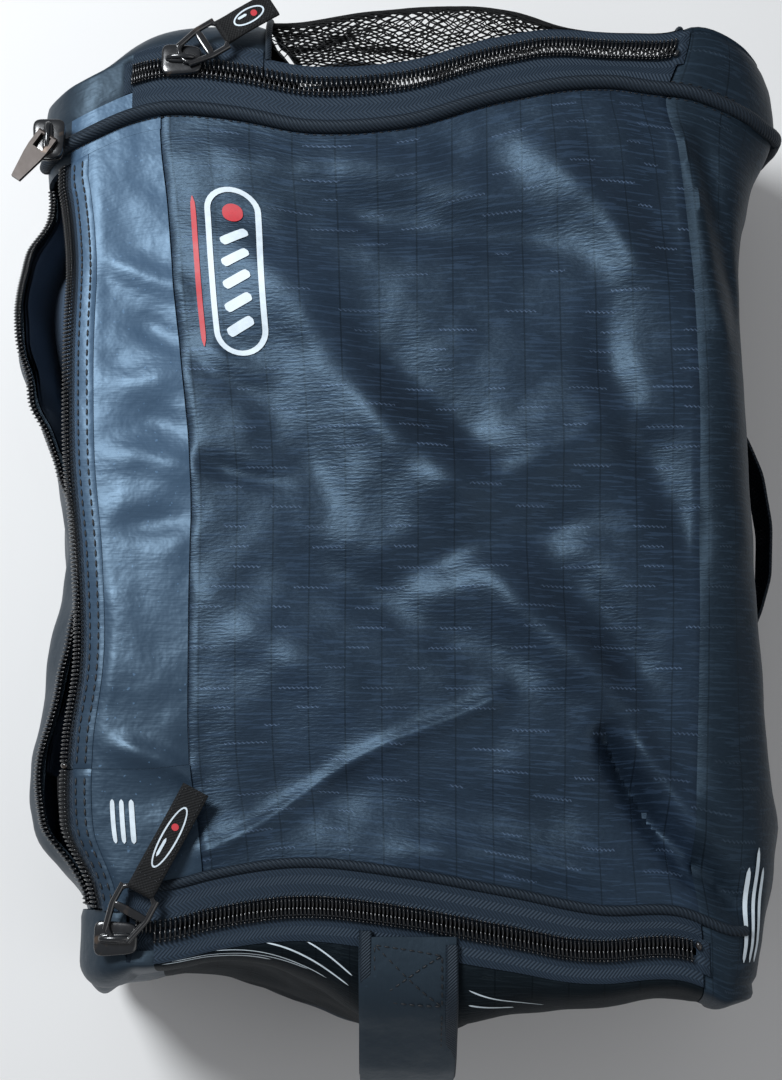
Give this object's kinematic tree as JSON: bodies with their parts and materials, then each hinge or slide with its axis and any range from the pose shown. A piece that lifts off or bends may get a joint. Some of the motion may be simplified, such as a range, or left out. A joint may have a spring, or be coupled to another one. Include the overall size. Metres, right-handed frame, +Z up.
{
  "type": "soft zipped kit bag",
  "caption": "Black soft kit bag lying on its back: ripstop front, coated side strip, mesh and printed end flaps, coil zips, webbing handles.",
  "frame": {"origin": "on the surface under the middle of the bag's box", "axes": "+Y along the bag towards the mesh end, +X across it away from the coated strip, +Z up out of the front panel"},
  "size_m": [0.42, 0.57, 0.1791],
  "materials": {
    "ripstop": "ripstop nylon weave, soft sheen",
    "coated": "smooth coated nylon, satin",
    "gusset_cloth": "plain black nylon",
    "mesh_cloth": "open diamond mesh",
    "print_cloth": "black nylon with thin pale lines",
    "tape_cloth": "twill zip tape",
    "coil_nylon": "nylon coil",
    "slider_metal": "black enamel, gloss",
    "pull_plastic": "moulded, gloss",
    "leaf_metal": "worn gunmetal",
    "tab_webbing": "folded grosgrain",
    "handle_webbing": "ribbed webbing with a coated facing",
    "piping_cloth": "twill-covered cord",
    "lining_cloth": "pale blue-grey lining",
    "board_foam": "closed foam sheet"
  },
  "bodies": {
    "bag": {"front_panel": "ripstop", "strip_head": "coated", "strip_foot": "coated", "corner_mesh_left": "coated", "corner_print_left": "coated", "pocket_lip": "coated", "left_gusset": "gusset_cloth", "right_gusset": "gusset_cloth", "corner_mesh_right": "gusset_cloth", "corner_print_right": "gusset_cloth", "back_panel": "gusset_cloth", "skirt_print": "gusset_cloth", "skirt_mesh": "gusset_cloth", "zip1_panel_tape": "tape_cloth", "zip1_outer_tape": "tape_cloth", "zip2_panel_tape": "tape_cloth", "zip3_lip_tape": "tape_cloth", "zip1_panel_coil": "coil_nylon", "zip1_outer_coil": "coil_nylon", "zip2_panel_coil": "coil_nylon", "zip3_lip_coil": "coil_nylon", "zip1_stop": "coil_nylon", "zip2_stop": "coil_nylon", "side_handle": "handle_webbing", "top_piping": "piping_cloth", "bottom_welt": "piping_cloth", "pocket_lining": "lining_cloth", "pocket_floor": "lining_cloth", "pocket_wall": "lining_cloth", "compartment_divider": "lining_cloth", "stiffener_board": "board_foam"},
    "zip1_slider": {"zip1_slider": "slider_metal"},
    "zip2_slider": {"zip2_slider": "slider_metal"},
    "zip3_slider": {"zip3_slider": "slider_metal"},
    "zip1_pull": {"zip1_pull": "pull_plastic"},
    "zip2_pull": {"zip2_pull": "pull_plastic"},
    "zip3_pull": {"zip3_pull": "leaf_metal"},
    "zip1_tab": {"zip1_tab": "tab_webbing"},
    "zip2_tab": {"zip2_tab": "tab_webbing"},
    "pocket_front": {"coated_strip": "coated", "zip3_strip_tape": "tape_cloth", "zip3_strip_coil": "coil_nylon", "zip3_stop": "coil_nylon"},
    "print_end_flap": {"print_flap": "print_cloth", "zip2_flap_tape": "tape_cloth", "zip2_flap_coil": "coil_nylon", "end_handle": "handle_webbing"},
    "mesh_end_flap": {"mesh_flap": "mesh_cloth", "zip1_flap_tape": "tape_cloth", "zip1_flap_coil": "coil_nylon"}
  },
  "joints": [
    {"name": "zip1_slide", "type": "slide", "parent": "bag", "child": "zip1_slider", "axis": [1, 0, 0], "range_m": [0, 0.248]},
    {"name": "zip2_slide", "type": "slide", "parent": "bag", "child": "zip2_slider", "axis": [1, 0, 0], "range_m": [0, 0.271]},
    {"name": "strip_lift", "type": "hinge", "parent": "bag", "child": "pocket_front", "pos_m": [-0.10525, 0.041, 0.168], "axis": [0, 1, 0], "range_deg": [0, 65]},
    {"name": "zip3_slide", "type": "slide", "parent": "pocket_front", "child": "zip3_slider", "axis": [0, -1, 0], "range_m": [0, 0.311]},
    {"name": "zip1_pull_lift", "type": "hinge", "parent": "zip1_slider", "child": "zip1_pull", "pos_m": [-0.114, 0.242, 0.1765], "axis": [0.5299, -0.848, 0], "range_deg": [0, 110]},
    {"name": "zip2_pull_lift", "type": "hinge", "parent": "zip2_slider", "child": "zip2_pull", "pos_m": [-0.1365, -0.207, 0.1765], "axis": [0.8829, -0.4695, 0], "range_deg": [0, 110]},
    {"name": "zip3_pull_lift", "type": "hinge", "parent": "zip3_slider", "child": "zip3_pull", "pos_m": [-0.182, 0.1985, 0.1765], "axis": [-0.829, 0.5592, 0], "range_deg": [0, 110]},
    {"name": "zip1_tab_lift", "type": "hinge", "parent": "zip1_pull", "child": "zip1_tab", "pos_m": [-0.09195, 0.25578, 0.1765], "axis": [0.5299, -0.848, 0], "range_deg": [0, 75]},
    {"name": "zip2_tab_lift", "type": "hinge", "parent": "zip2_pull", "child": "zip2_tab", "pos_m": [-0.12429, -0.18404, 0.1765], "axis": [0.8829, -0.4695, 0], "range_deg": [0, 75]},
    {"name": "print_flap_open", "type": "hinge", "parent": "bag", "child": "print_end_flap", "pos_m": [0.012, -0.258, 0.046], "axis": [1, 0, 0], "range_deg": [0, 75]},
    {"name": "mesh_flap_open", "type": "hinge", "parent": "bag", "child": "mesh_end_flap", "pos_m": [0.046, 0.285, 0.046], "axis": [-1, 0, 0], "range_deg": [0, 75]}
  ]
}
